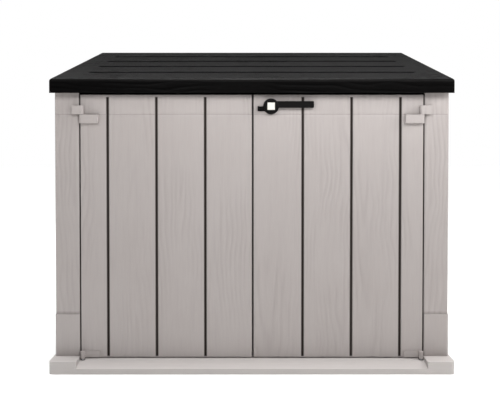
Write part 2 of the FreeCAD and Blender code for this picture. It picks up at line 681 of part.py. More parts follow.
def latch_cap():
    """Light square cap let into the hub."""
    y = (HUB_FRONT_Y - CAP_PROUD, HUB_FRONT_Y + CAP_SINK)
    cap = box(centred(LATCH_X, CAP), y, centred(LATCH_Z, CAP))
    front = [e for e in cap.Edges if e.BoundBox.YMax < HUB_FRONT_Y - CAP_PROUD + 0.01]
    return cap.makeFillet(0.8, front)


def latch_screw_line():
    """Seat and tip of the screw that holds the cam on the spindle."""
    return ((LATCH_X, CAM_Y + CAM, LATCH_Z), (LATCH_X, CAM_Y - 14, LATCH_Z))


def latch_cam():
    """Cam behind the door: down when free, across the other door when turned."""
    y = (CAM_Y, CAM_Y + CAM)
    half = CAM_WIDTH / 2
    plate = box(centred(LATCH_X, CAM_WIDTH), y, (LATCH_Z - CAM_LENGTH + half, LATCH_Z))
    ends = [
        bar(half, (LATCH_X, y[0], z), (LATCH_X, y[1], z))
        for z in (LATCH_Z, LATCH_Z - CAM_LENGTH + half)
    ]
    return joined(plate, *ends).cut(latch_cam_hole())


def latch_cam_hole():
    """Hole in the cam for the spindle's end."""
    return bar(SPINDLE_END_R, (LATCH_X, CAM_Y - 1, LATCH_Z), (LATCH_X, CAM_Y + CAM + 1, LATCH_Z))


# Slide bolt


def guide_screw_lines():
    """Seat and tip of the screws that hold the bolt guides to the door liner."""
    lines = []
    for lift in GUIDE_LIFTS:
        z = FLOOR_Z + lift + GUIDE_HEIGHT / 2
        for side in (LEFT, RIGHT):
            x = BOLT_X + side * (GUIDE_WIDTH / 2 - 5)
            lines.append(((x, DOOR_BACK_Y + WALL, z), (x, DOOR_BACK_Y - DOOR_LINER - 6, z)))
    return lines


def bolt_guide(lift):
    """Guide on the left door's back that the bolt slides through."""
    z = (FLOOR_Z + lift, FLOOR_Z + lift + GUIDE_HEIGHT)
    base = box(centred(BOLT_X, GUIDE_WIDTH), (DOOR_BACK_Y, DOOR_BACK_Y + WALL), z)
    around = BOLT_R + 3
    body = box(centred(BOLT_X, 2 * around), (DOOR_BACK_Y, BOLT_Y), z)
    ring = bar(around, (BOLT_X, BOLT_Y, z[0]), (BOLT_X, BOLT_Y, z[1]))
    hole = bar(BOLT_R + RUNNING, (BOLT_X, BOLT_Y, z[0] - 1), (BOLT_X, BOLT_Y, z[1] + 1))
    screws = [screw_hole(seat, tip) for seat, tip in guide_screw_lines()]
    return joined(base, body, ring).cut([hole] + screws)


def slide_bolt():
    """Bolt of the left door with its finger knob, drawn up at rest."""
    low = FLOOR_Z + BOLT_LIFT
    rod = bar(BOLT_R, (BOLT_X, BOLT_Y, low), (BOLT_X, BOLT_Y, low + BOLT_LENGTH))
    tip = [e for e in rod.Edges if e.Closed and e.BoundBox.ZMax < low + 0.01]
    rod = rod.makeChamfer(1.5, tip)
    knob_z = FLOOR_Z + KNOB_LIFT
    knob = bar(KNOB_R, (BOLT_X, BOLT_Y, knob_z), (BOLT_X, BOLT_Y + BOLT_R + KNOB_LENGTH, knob_z))
    return joined(rod, knob)


# Lid


def low_z(y):
    """Height of the lid's lower edge, which runs parallel to its top."""
    return LID_LOW_Z + LID_SLOPE * (y - LID_FRONT_Y)


def wall_top_z(y):
    """Height of the side walls' tops, inside the lid."""
    return low_z(y) + WALL_INTO_LID


def top_z(y):
    """Height of the lid's top: a short bevel, then a slope up to the rear."""
    if y < NOSE_Y:
        return LID_FRONT_TOP + NOSE_RISE * (y - LID_FRONT_Y) / NOSE_RUN
    return LID_FRONT_TOP + NOSE_RISE + LID_SLOPE * (y - NOSE_Y)


def liner_low_z(y):
    """Height of the lid liner's underside."""
    return LID_FRONT_TOP + NOSE_RISE + LID_SLOPE * (y - NOSE_Y) - LID_SKIN - LINER_DROP


def lid_block(x, y, low, drop):
    """A solid from a sloping underside up to a surface this far below the lid's top."""
    upper = [(v, top_z(v) - drop) for v in (y[0], NOSE_Y, y[1])]
    return prism_x(upper + [(y[1], low(y[1])), (y[0], low(y[0]))], x)


def lid_screw_places():
    """The x and y of the screws between the lid's shell and liner."""
    rows = (LID_FRONT_Y + 70, (LID_FRONT_Y + LID_REAR_Y) / 2 + 12, LID_REAR_Y - 70)
    columns = (-HALF_W + 120, LINER_RIB * 4, HALF_W - 120)
    return [(x, y) for x in columns for y in rows]


def lid_screw_line(x, y):
    """Seat and tip of one screw up through the liner into the shell's boss."""
    seat = liner_low_z(y - SCREW_HEAD_R)
    return ((x, y, seat), (x, y, seat + LINER_DROP))


def lid_shell():
    """Black planked lid with a skirt on all four sides."""
    x = (-HALF_W, HALF_W)
    shell = lid_block(x, (LID_FRONT_Y, LID_REAR_Y), low_z, 0)
    sides = [e for e in shell.Edges if e.BoundBox.XLength < 0.01 and e.BoundBox.YLength < 0.01]
    shell = shell.makeFillet(LID_EDGE_R, sides)
    inside_x = (x[0] + LID_SKIN, x[1] - LID_SKIN)
    inside_y = (LID_FRONT_Y + LID_SKIN, LID_REAR_Y - LID_SKIN)
    shell = shell.cut(lid_block(inside_x, inside_y, lambda y: low_z(y) - 1, LID_SKIN))
    bosses = []
    cuts = []
    for sx, sy in lid_screw_places():
        seat, tip = lid_screw_line(sx, sy)
        low = liner_low_z(sy + LID_BOSS_R) + LID_LINER + LINER_CLEAR
        bosses.append(bar(LID_BOSS_R, (sx, sy, low), (sx, sy, top_z(sy) - LID_SKIN / 2)))
        cuts.append(screw_hole(seat, tip))
    slope = math.degrees(math.atan(LID_SLOPE))
    groove_x = (x[0] + LID_GROOVE_INSET, x[1] - LID_GROOVE_INSET)
    for y in evenly(LID_FRONT_Y, LID_REAR_Y, LID_PLANK):
        groove = box(groove_x, centred(0, GROOVE_WIDTH), (-LID_GROOVE_DEPTH, LID_GROOVE_DEPTH))
        groove.rotate(V(0, 0, 0), V(1, 0, 0), slope)
        groove.translate(V(0, y, top_z(y)))
        cuts.append(groove)
    cuts += [screw_hole(seat, tip) for seat, tip in lid_leaf_screw_lines()]
    return joined(shell, *bosses).cut(cuts)


def lid_liner():
    """Inner tray of the lid that stiffens the shell."""
    inset = LID_SKIN + LINER_INSET
    x = (-HALF_W + inset, HALF_W - inset)
    y = (LID_FRONT_Y + inset, LID_REAR_Y - inset - LEAF)
    tray = lid_block(x, y, liner_low_z, LID_SKIN + LINER_CLEAR)
    hollow_x = (x[0] + LID_LINER, x[1] - LID_LINER)
    hollow_y = (y[0] + LID_LINER, y[1] - LID_LINER)
    hollow = lid_block(hollow_x, hollow_y, lambda v: liner_low_z(v) + LID_LINER, 0)
    ribs = []
    for i in range(1, LINER_RIBS + 1):
        rib_x = centred(x[0] + (x[1] - x[0]) * i / (LINER_RIBS + 1), LINER_RIB)
        ribs.append(lid_block(rib_x, y, liner_low_z, LID_SKIN + LINER_CLEAR))
    holes = [screw_hole(*lid_screw_line(sx, sy)) for sx, sy in lid_screw_places()]
    return joined(tray.cut(hollow), *ribs).cut(holes)


# Lid hinges


def lid_hinge_places():
    """The x of each lid hinge's middle."""
    return [-HALF_W + LID_HINGE_INSET, 0.0, HALF_W - LID_HINGE_INSET]


def body_leaf_screw_lines():
    """Seat and tip of the screws through the body leaves into the rear rail."""
    z = RAIL_LOW_Z + RAIL / 2
    seat, tip = REAR_Y + LEAF, REAR_IN_Y - 10
    offsets = [side * LEAF_WIDTH / 3 for side in (LEFT, RIGHT)]
    return [((x + o, seat, z), (x + o, tip, z)) for x in lid_hinge_places() for o in offsets]


def lid_leaf_z():
    """Lower and upper edge of the leaves on the lid's rear skirt."""
    low = low_z(LID_REAR_Y)
    return (low + 6, low + 30)


def lid_leaf_screw_lines():
    """Seat and tip of the screws through the lid leaves into the rear skirt."""
    z = sum(lid_leaf_z()) / 2
    seat = LID_REAR_Y - LID_SKIN - LEAF
    offsets = [side * LEAF_WIDTH / 3 for side in (LEFT, RIGHT)]
    return [
        ((x + o, seat, z), (x + o, LID_REAR_Y - 1, z))
        for x in lid_hinge_places()
        for o in offsets
    ]


def lid_pin_line(x):
    """Ends of one lid hinge's pin."""
    half = LEAF_WIDTH / 2
    return ((x - half, LID_AXIS_Y, LID_AXIS_Z), (x + half, LID_AXIS_Y, LID_AXIS_Z))


def body_leaf(x):
    """Hinge leaf on the rear wall, with the two outer knuckles."""
    z = (RAIL_LOW_Z, LID_AXIS_Z - BARREL_R)
    leaf = box(centred(x, LEAF_WIDTH), (REAR_Y, REAR_Y + LEAF), z)
    knuckles = []
    web = [
        (REAR_Y, z[1] - 16),
        (LID_AXIS_Y, LID_AXIS_Z - BARREL_R),
        (LID_AXIS_Y, LID_AXIS_Z + BARREL_R),
        (REAR_Y, LID_AXIS_Z - 5),
    ]
    inner = CENTRE_KNUCKLE / 2 + KNUCKLE_SPLIT
    for side in (LEFT, RIGHT):
        ends = (x + side * inner, x + side * LEAF_WIDTH / 2)
        knuckles.append(prism_x(web, ends))
        barrel = [(end, LID_AXIS_Y, LID_AXIS_Z) for end in ends]
        knuckles.append(bar(BARREL_R, *barrel))
    holes = [screw_hole(seat, tip) for seat, tip in body_leaf_screw_lines()]
    return joined(leaf, *knuckles).cut([bar(LID_PIN_R, *lid_pin_line(x))] + holes)


def lid_leaf(x):
    """Hinge leaf on the lid's rear skirt, with the middle knuckle."""
    skirt_y = LID_REAR_Y - LID_SKIN
    z = lid_leaf_z()
    leaf = box(centred(x, LEAF_WIDTH), (skirt_y - LEAF, skirt_y), z)
    web = [
        (LID_AXIS_Y - 5, LID_AXIS_Z + 4.9),
        (LID_AXIS_Y + 5, LID_AXIS_Z - 4.9),
        (skirt_y, z[0]),
        (skirt_y, z[0] + 14),
    ]
    ends = centred(x, CENTRE_KNUCKLE)
    barrel = [(end, LID_AXIS_Y, LID_AXIS_Z) for end in ends]
    knuckle = bar(BARREL_R, *barrel)
    bore = bar(LID_PIN_R + RUNNING, *lid_pin_line(x))
    holes = [screw_hole(seat, tip) for seat, tip in lid_leaf_screw_lines()]
    return joined(leaf, prism_x(web, ends), knuckle).cut([bore] + holes)


# Every node and the solids in it


def screws(lines):
    """One screw on each line."""
    return [screw(seat, tip) for seat, tip in lines]


def nodes():
    """The solids of each node, by name."""
    both = (LEFT, RIGHT)
    hinges = lid_hinge_places()
    return {
        "base_tray": [base_tray()],
        "pivot_bushes": [pivot_bush(side) for side in both],
        "bolt_keeper": [bolt_keeper()],
        "keeper_screws": screws(keeper_screw_lines()),
        "left_side_panel": [side_panel(LEFT)],
        "right_side_panel": [side_panel(RIGHT)],
        "rear_panel": [rear_panel()],
        "rear_rail": [rear_rail()],
        "corner_screws": screws(corner_screw_lines(LEFT) + corner_screw_lines(RIGHT)),
        "left_upper_bracket": [upper_bracket(LEFT)],
        "right_upper_bracket": [upper_bracket(RIGHT)],
        "bracket_screws": screws(bracket_screw_lines(LEFT) + bracket_screw_lines(RIGHT)),
        "upper_hinge_pins": [upper_pin(side) for side in both],
        "lid_bumpers": [lid_bumper(side) for side in both],
        "lid_hinge_body_leaves": [body_leaf(x) for x in hinges],
        "lid_hinge_pins": [bar(LID_PIN_R, *lid_pin_line(x)) for x in hinges],
        "body_leaf_screws": screws(body_leaf_screw_lines()),
        "left_door_skin": [door_skin(LEFT)],
        "left_door_liner": [door_liner(LEFT)],
        "left_hinge_block": [door_block(LEFT)],
        "left_pivot_block": [pivot_block(LEFT)],
        "left_pivot_pin": [pivot_pin(LEFT)],
        "left_door_screws": screws(door_screw_lines(LEFT)),
        "bolt_guides": [bolt_guide(lift) for lift in GUIDE_LIFTS],
        "guide_screws": screws(guide_screw_lines()),
        "slide_bolt": [slide_bolt()],
        "right_door_skin": [door_skin(RIGHT)],
        "right_door_liner": [door_liner(RIGHT)],
        "right_hinge_block": [door_block(RIGHT)],
        "right_pivot_block": [pivot_block(RIGHT)],
        "right_pivot_pin": [pivot_pin(RIGHT)],
        "right_door_screws": screws(door_screw_lines(RIGHT)),
        "latch_rose": [latch_rose()],
        "rose_screws": screws(rose_screw_lines()),
        "latch_handle": [latch_handle()],
        "latch_cap": [latch_cap()],
        "latch_cam": [latch_cam()],
        "cam_screw": screws([latch_screw_line()]),
        "lid_shell": [lid_shell()],
        "lid_liner": [lid_liner()],
        "lid_hinge_lid_leaves": [lid_leaf(x) for x in hinges],
        "lid_leaf_screws": screws(lid_leaf_screw_lines()),
        "lid_liner_screws": screws([lid_screw_line(x, y) for x, y in lid_screw_places()]),
    }


def save(name, solids):
    """Writes one node's solids to its STEP file."""
    for shape in solids:
        if len(shape.Solids) != 1 or not shape.isValid():
            raise ValueError(f"{name} isn't one whole solid per piece")
    Part.makeCompound([shape.Solids[0] for shape in solids]).exportStep(f"parts/{name}.step")


os.makedirs("parts", exist_ok=True)
for node_name, node_solids in nodes().items():
    save(node_name, node_solids)
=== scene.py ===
import bpy
import json
import math
import numpy as np
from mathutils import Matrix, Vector


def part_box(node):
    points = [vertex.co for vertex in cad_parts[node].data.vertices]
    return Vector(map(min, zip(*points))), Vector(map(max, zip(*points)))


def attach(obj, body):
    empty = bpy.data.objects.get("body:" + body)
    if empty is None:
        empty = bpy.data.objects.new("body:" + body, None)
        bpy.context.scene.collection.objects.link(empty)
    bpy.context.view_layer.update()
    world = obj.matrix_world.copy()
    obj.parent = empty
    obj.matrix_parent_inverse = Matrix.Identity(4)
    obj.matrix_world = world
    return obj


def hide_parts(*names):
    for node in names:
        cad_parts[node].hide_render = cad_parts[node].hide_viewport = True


# Looks of the deck storage box. Metres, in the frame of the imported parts:
# X points right, Y to the rear and Z up, and the doors face -Y.

# Relief of the moulded planks
GRAIN_STEP = 0.003  # mesh spacing across the grain
GRAIN_RUN = 0.009  # mesh spacing along the grain
WALL_GRAIN = 0.0011  # deepest embossing
LID_GRAIN = 0.0005
FASCIA_GRAIN = 0.0014
RING_PITCH = 0.015
GROOVE_WIDTH = 0.006
GROOVE_DEPTH = 0.0022
GROOVE_WALL = 0.0006
GROOVE_BEVEL = 0.003
BEVEL_DEPTH = 0.0014
EDGE_R = 0.0022
MOULD_LINE = 0.0004  # depth of the line left by the mould
MOULD_HALF = 0.0006
MOULD_SOFT = 0.001

# Doors
PLANK = 0.1605
PLANK_CENTRE_X = 0.007
DOOR_SKIN = 0.0045
DOOR_FLANGE = 0.0035
GROOVE_LOW_GAP = 0.003
GROOVE_TOP_GAP = 0.008

# Side and rear walls
WALL = 0.0045
POST_WIDTH = 0.081
POST_DEPTH = 0.035
POST_INNER_R = 0.007
POST_CORNER_R = 0.004
LEDGE_Z = 0.040
BOOT_TOP = 0.179
BOOT_PROUD = 0.002
BOOT_WRAP = 0.085

# Lid
LID_PLANK = 0.153
LID_SKIN = 0.004
LID_EDGE_R = 0.009
LID_GROOVE_DEPTH = 0.0034
LID_BEVEL = 0.013
LID_BEVEL_DEPTH = 0.0028
LID_GROOVE_INSET = 0.095
FASCIA = 0.045
NOSE_RUN = 0.018
NOSE_RISE = 0.005
CEILING_DROP = 0.008

# Studio
WORLD_LIGHT = 0.08
CEILING_LIGHT = 3.3
CEILING_SPREAD = 16  # degrees

NOISE_CELLS = 97  # side of the noise grid before it repeats

LEFT, RIGHT = -1, 1


# Fields


def noise(u, v, cell_u, cell_v, seed):
    """Smooth seeded noise from -1 to 1, over cells of this size."""
    cells = NOISE_CELLS
    grid = np.random.default_rng(seed).uniform(-1, 1, (cells, cells))
    x, y = u / cell_u, v / cell_v
    i, j = np.floor(x).astype(int), np.floor(y).astype(int)
    fx, fy = x - i, y - j
    fx, fy = fx * fx * (3 - 2 * fx), fy * fy * (3 - 2 * fy)
    i_next, j_next = (i + 1) % cells, (j + 1) % cells
    i, j = i % cells, j % cells
    low = grid[i, j] * (1 - fx) + grid[i_next, j] * fx
    high = grid[i, j_next] * (1 - fx) + grid[i_next, j_next] * fx
    return low * (1 - fy) + high * fy


def wood_grain(across, along, plank, seed):
    """Depth of the embossed grain, 0 to 1: long arches round a heart, with fibres between."""
    rng = np.random.default_rng(seed)
    heart = rng.uniform(-0.05, 0.05, NOISE_CELLS)[plank % NOISE_CELLS]
    knot = rng.uniform(-0.1, 1.1, NOISE_CELLS)[plank % NOISE_CELLS]
    shifted = along + 2.7 * plank
    sway = 0.016 * noise(across, shifted, 0.25, 0.28, seed + 1)
    ripple = 0.008 * noise(across, shifted, 0.035, 0.09, seed + 2)
    distance = np.hypot(across - heart + sway + ripple, 0.055 * (along - knot))
    rings = 0.5 + 0.5 * np.sin(distance * 2 * np.pi / RING_PITCH)
    fade = np.clip(0.4 + 1.2 * noise(across, shifted, 0.07, 0.22, seed + 3), 0, 1)
    fibre = 0.5 + 0.5 * noise(across, shifted, 0.006, 0.08, seed + 4)
    return 0.72 * rings**3 * fade + 0.28 * fibre * (0.4 + 0.6 * fade)


def groove_places(low, high, pitch):
    """Places of the grooves between equal planks, about one pitch wide."""
    count = max(2, round((high - low) / pitch))
    return [low + (high - low) * i / count for i in range(1, count)]


def groove_marks(places, bevel=GROOVE_BEVEL):
    """Mesh lines that a groove's walls and bevels need."""
    half = GROOVE_WIDTH / 2
    offsets = (half - GROOVE_WALL, half + GROOVE_WALL, half + bevel)
    return [p + s * o for p in places for s in (-1, 1) for o in offsets] + list(places)


def groove_cut(across, places, depth, bevel=GROOVE_BEVEL, bevel_depth=BEVEL_DEPTH):
    """Depth of the grooves, with a small bevel on each plank's edge."""
    half = GROOVE_WIDTH / 2
    away = np.min([np.abs(across - p) for p in places], axis=0)
    stops = [half - GROOVE_WALL, half + GROOVE_WALL, half + bevel]
    return np.interp(away, stops, [depth, bevel_depth, 0])


def groove_shade(across, places, bevel=GROOVE_BEVEL, dark=0.0):
    """Painted shade of a groove, 0 to 1: its bottom, and the dark share of its bevels."""
    half = GROOVE_WIDTH / 2
    away = np.min([np.abs(across - p) for p in places], axis=0)
    return np.interp(away, [half + dark * bevel, half + bevel], [1, 0])


def plank_of(across, places):
    """Number of the plank that each point is on, and its distance from that plank's middle."""
    edges = np.array(sorted(places))
    number = np.searchsorted(edges, across)
    pitch = edges[1] - edges[0] if len(edges) > 1 else 0.16
    middle = edges[0] + (number - 0.5) * pitch
    return number, across - middle


def mould_line_z():
    """Height of the fine line left by the mould, level with the split of the upper hinges."""
    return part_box("left_upper_bracket")[0].z


def mould_offsets():
    """Mesh lines that the mould line needs, from its middle."""
    outer = MOULD_HALF + MOULD_SOFT
    return (-outer, -MOULD_HALF, MOULD_HALF, outer)


def mould_mark(z, mould_z):
    """1 on the mould line and 0 away from it."""
    return between(z, mould_z - MOULD_HALF, mould_z + MOULD_HALF, MOULD_SOFT)


def lid_slope():
    """Rise of the lid's top for each metre towards the rear."""
    low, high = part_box("lid_shell")
    return (high.z - low.z - FASCIA - NOSE_RISE) / (high.y - low.y - NOSE_RUN)


def between(value, low, high, soft):
    """1 inside a stretch and 0 outside it, with soft ends."""
    return np.interp(value, [low - soft, low, high, high + soft], [0, 1, 1, 0])


def lines(low, high, step, marks=()):
    """Mesh lines from low to high, through each mark and at most one step apart."""
    stops = sorted({round(m, 6) for m in marks if low < m < high} | {low, high})
    out = [low]
    for a, b in zip(stops, stops[1:]):
        count = max(1, math.ceil((b - a) / step - 1e-6))
        out += [a + (b - a) * i / count for i in range(1, count + 1)]
    return np.array(out)


def edge_drop(u, v, us, vs, radius):
    """How far the rim of a panel curves back at its edges."""
    away = np.minimum(np.minimum(u - us[0], us[-1] - u), np.minimum(v - vs[0], vs[-1] - v))
    near = np.clip(radius - away, 0, radius)
    return radius - np.sqrt(radius**2 - near**2)


def edge_marks(low, high, radius):
    """Mesh lines that a rounded rim needs."""
    offsets = [radius * f for f in (0.08, 0.3, 0.6, 1.0)]
    return [low + o for o in offsets] + [high - o for o in offsets]


# Mesh building


def make_piece(name, verts, faces, shade, body, node, material):
    """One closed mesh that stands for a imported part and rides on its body."""
    mesh = bpy.data.meshes.new(name)
    mesh.from_pydata(verts.tolist(), [], faces)
    mesh.validate()
    mesh.update()
    mesh.polygons.foreach_set("use_smooth", [True] * len(mesh.polygons))
    mesh.set_sharp_from_angle(angle=math.radians(32))
    # The shade attribute carries painted shade per point, which the material turns into darker colour and
    # less reflection.
    layer = mesh.attributes.new("shade", "FLOAT", "POINT")
    layer.data.foreach_set("value", np.asarray(shade, np.float32))
    mesh.materials.append(material)
    piece = bpy.data.objects.new(name, mesh)
    bpy.context.scene.collection.objects.link(piece)
    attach(piece, body)
    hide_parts(node)
    return piece


def pan(us, vs, face, rings):
    """A closed shell: a fine front, then rings of its border going back, then a cap."""
    u, v = np.meshgrid(us, vs, indexing="ij")
    front, front_shade = face(u, v)
    index = np.arange(u.size).reshape(u.shape)
    quads = [np.stack([index[:-1, :-1], index[1:, :-1], index[1:, 1:], index[:-1, 1:]], -1)]
    border = np.concatenate([index[:, 0], index[-1, 1:], index[-2::-1, -1], index[0, -2:0:-1]])
    ub, vb = u.reshape(-1)[border], v.reshape(-1)[border]
    verts, shades, last, count = [front.reshape(-1, 3)], [front_shade.reshape(-1)], border, u.size
    for ring in rings:
        points, ring_shade = ring(ub, vb)
        new = np.arange(count, count + len(border))
        count += len(border)
        quads.append(np.stack([np.roll(last, -1), last, new, np.roll(new, -1)], -1))
        verts.append(points)
        shades.append(np.broadcast_to(ring_shade, len(border)))
        last = new
    faces = np.concatenate([q.reshape(-1, 4) for q in quads]).tolist() + [last[::-1].tolist()]
    return np.concatenate(verts), faces, np.concatenate(shades)


def xyz(x, y, z):
    """Points from three arrays."""
    return np.stack(np.broadcast_arrays(x, y, z), -1).astype(float)


def scaled_to(value, low, high, inset):
    """The same place across a stretch that is shorter by an inset at each end."""
    middle, half = (low + high) / 2, (high - low) / 2
    return middle + (value - middle) * (half - inset) / half


def door_piece(side, material):
    """Planked outer shell of a door with its embossed grain."""
    name = "left" if side == LEFT else "right"
    low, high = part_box(f"{name}_door_skin")
    count = int((abs(low.x if side == LEFT else high.x) - 3 * GROOVE_WIDTH) / PLANK)
    grooves = [PLANK_CENTRE_X + side * PLANK * i for i in range(1, count + 1)]
    groove_z = (low.z + GROOVE_LOW_GAP, high.z - GROOVE_TOP_GAP)
    mould_z = mould_line_z()
    mould = [mould_z + d for d in mould_offsets()]
    ends = [z + d for z in groove_z for d in (-0.0005, 0.0005)]
    us = lines(low.x, high.x, GRAIN_STEP, groove_marks(grooves) + edge_marks(low.x, high.x, EDGE_R))
    vs = lines(low.z, high.z, GRAIN_RUN, ends + mould + edge_marks(low.z, high.z, EDGE_R))

    def face(x, z):
        in_groove = between(z, groove_z[0] + 0.0005, groove_z[1] - 0.0005, 0.001)
        plank, across = plank_of(x, grooves)
        # Painted shade in the grooves.
        shade = groove_shade(x, grooves) * in_groove
        grain = wood_grain(across, z, plank, 11 if side == LEFT else 12) * (1 - shade)
        line = mould_mark(z, mould_z)
        depth = groove_cut(x, grooves, GROOVE_DEPTH) * in_groove + WALL_GRAIN * grain
        depth = depth + MOULD_LINE * line + edge_drop(x, z, us, vs, EDGE_R)
        # Painted shade along the door's edges, widening the dark gaps beside them.
        gap_shade = np.interp(np.minimum(x - low.x, high.x - x), [0.0008, EDGE_R], [1, 0])
        # The deeper grain is darker too, and the mould line gets painted shade.
        return xyz(x, low.y + depth, z), np.maximum(np.maximum(shade, gap_shade), 0.08 * grain + 0.22 * line)

    def rim(inset, y):
        def ring(x, z):
            # The door's sides and back get painted shade, 0.8, as in the gaps.
            return xyz(scaled_to(x, low.x, high.x, inset), y, scaled_to(z, low.z, high.z, inset)), 0.8
        return ring

    stops = ((0, low.y + 3 * EDGE_R), (0, high.y), (DOOR_FLANGE, high.y), (DOOR_FLANGE, low.y + DOOR_SKIN))
    rings = [rim(inset, y) for inset, y in stops]
    verts, faces, shade = pan(us, vs, face, rings)
    node = f"{name}_door_skin"
    body = f"{name}_door"
    return make_piece(f"{name}_door_face", verts, faces, shade, body, node, material)


def rear_piece(material):
    """Planked rear wall."""
    low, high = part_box("rear_panel")
    hinge_low, hinge_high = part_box("lid_hinge_body_leaves")
    grooves = groove_places(low.x, high.x, PLANK)
    us = lines(LEDGE_Z, high.z, GRAIN_RUN, edge_marks(LEDGE_Z, high.z, 0.001))
    vs = lines(low.x, high.x, GRAIN_STEP * 1.3, groove_marks(grooves) + edge_marks(low.x, high.x, 0.001))
    rail_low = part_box("rear_rail")[0].z

    def face(z, x):
        top = np.full_like(x, high.z)
        for place in (hinge_low.x + 0.04, 0.0, hinge_high.x - 0.04):
            top = np.where(np.abs(x - place) < 0.055, rail_low - GROOVE_WIDTH, top)
        in_groove = between(z, LEDGE_Z + GROOVE_WIDTH, 9, 0.001) * (z < top)
        plank, across = plank_of(x, grooves)
        # Painted shade in the grooves; the deeper grain is darker too.
        shade = groove_shade(x, grooves) * in_groove
        grain = wood_grain(across, z, plank, 21) * (1 - shade)
        depth = groove_cut(x, grooves, GROOVE_DEPTH) * in_groove + WALL_GRAIN * grain
        depth = depth + edge_drop(z, x, us, vs, 0.001)
        return xyz(x, high.y - depth, z), np.maximum(shade, 0.08 * grain)

    def back(z, x):
        # The back face gets a slight painted shade.
        return xyz(x, high.y - WALL, z), 0.1

    verts, faces, shade = pan(us, vs, face, [back])
    return make_piece(
        "rear_wall_face", verts, faces, shade, "carcass", "rear_panel", material
    )


def side_path(low, high):
    """Outline of the right side wall and its post seen from above, anticlockwise.

    Gives points, outward normals, the distance across the grain and which stretch each is on.
    """
    cheek_x, side_x = high.x - BOOT_PROUD - POST_WIDTH, high.x - BOOT_PROUD
    front_y, rear_y = low.y + BOOT_PROUD, high.y
    r = POST_CORNER_R
    grooves = groove_places(front_y, rear_y + WALL, PLANK)
    front_x = lines(cheek_x, side_x - r, GRAIN_STEP, edge_marks(cheek_x, side_x, POST_INNER_R)[:4])
    wall_marks = groove_marks(grooves) + [front_y + BOOT_WRAP, front_y + POST_DEPTH]
    wall_y = lines(front_y + r, rear_y, GRAIN_STEP, wall_marks)
    turn = np.radians([22.5, 45, 67.5])
    inside_y = wall_y[wall_y >= front_y + POST_DEPTH - 1e-6][::-1]
    parts = [
        (front_x, 0 * front_x + front_y, 0, -1, 0),
        (side_x - r + r * np.sin(turn), front_y + r - r * np.cos(turn), np.sin(turn), -np.cos(turn), 1),
        (0 * wall_y + side_x, wall_y, 1, 0, 2),
        (0 * inside_y + side_x - WALL, inside_y, 0, 0, 3),
        (np.array([cheek_x, cheek_x]), np.array([front_y + POST_DEPTH, front_y + 0.012]), 0, 0, 4),
    ]
    columns = [np.stack(np.broadcast_arrays(*part), -1) for part in parts]
    x, y, nx, ny, part = np.concatenate(columns).T
    return x, y, nx, ny, part, grooves


def side_piece(side, material):
    """Side wall with its front post, boot and embossed planks, wrapped round the corner."""
    name = "left" if side == LEFT else "right"
    low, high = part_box("right_side_panel")
    x, y, nx, ny, part, grooves = side_path(low, high)
    slope = lid_slope()
    post_top = high.z - slope * (high.y - low.y - BOOT_PROUD)
    tops = np.where(part >= 4, post_top, post_top + slope * (y - low.y - BOOT_PROUD))
    tops = np.where(part == 0, post_top, tops)
    boot_rows = lines(LEDGE_Z, BOOT_TOP + 0.002, GRAIN_RUN, [BOOT_TOP - 0.001, BOOT_TOP])
    mould_z = mould_line_z()
    height = post_top - boot_rows[-1]
    mould_share = (mould_z - boot_rows[-1]) / height
    near = [mould_share + d / height for d in mould_offsets()]
    shares = lines(0, 1, GRAIN_RUN / height, near)[1:]
    z = np.concatenate([
        np.repeat(boot_rows[:, None], len(x), 1),
        boot_rows[-1] + shares[:, None] * (tops - boot_rows[-1]),
    ])
    post, wall = part == 0, part == 2
    plank, across = plank_of(y, grooves)
    across = np.where(post, x - x[post].mean(), across)
    plank = np.where(post, 40, plank)
    booted = (part <= 1) | (wall & (y < low.y + BOOT_PROUD + BOOT_WRAP))
    boot = between(z, 0, BOOT_TOP - 0.001, 0.002) * booted
    groove_on = between(z, LEDGE_Z + GROOVE_WIDTH, 9, 0.001) * wall * (boot < 0.01)
    # Painted shade in the grooves.
    shade = groove_shade(y, grooves) * groove_on
    ends = np.clip(np.abs(x - x[post].min()) / 0.008, 0, 1)
    grain = wood_grain(np.broadcast_to(across, z.shape), z, np.broadcast_to(plank, z.shape), 31)
    grain = grain * (post * ends + wall) * (1 - shade) * (1 - boot)
    line = mould_mark(z, mould_z) * (part <= 1)
    depth = groove_cut(y, grooves, GROOVE_DEPTH) * groove_on + WALL_GRAIN * grain + MOULD_LINE * line
    out = BOOT_PROUD * boot - depth
    rounded = edge_drop(x, 0 * x, np.array([x[post].min(), 9]), np.array([-9, 9]), POST_INNER_R) * post
    verts = xyz(side * (x + nx * out), y + ny * (out - rounded), z)
    # Painted shadow under the boot's proud top edge.
    boot_shadow_line = between(z, BOOT_TOP, BOOT_TOP + 0.002, 0.001) * booted
    # Painted shade along the post's inner edge, widening the dark gap by the door.
    gap_shade = np.interp(x, x[post].min() + np.array([0.0008, EDGE_R]), [1, 0]) * (post | (part == 4))
    # The deeper grain is darker too, and the mould line gets painted shade.
    shade = np.maximum(np.maximum(shade, gap_shade), 0.08 * grain + 0.22 * line + 0.3 * boot_shadow_line)
    faces = loft_faces(z.shape, side)
    node = f"{name}_side_panel"
    verts, shade = verts.reshape(-1, 3), shade.reshape(-1)
    return make_piece(
        f"{name}_side_face", verts, faces, shade, "carcass", node, material
    )


def loft_faces(shape, side):
    """Faces of a closed outline repeated in rows upwards, with a cap at each end."""
    index = np.arange(shape[0] * shape[1]).reshape(shape)
    after = np.roll(index, -1, axis=1)
    quads = np.stack([index[:-1], after[:-1], after[1:], index[1:]], -1).reshape(-1, 4)
    faces = quads.tolist() + [index[0][::-1].tolist(), index[-1].tolist()]
    return [f[::-1] for f in faces] if side == LEFT else faces


# Lid


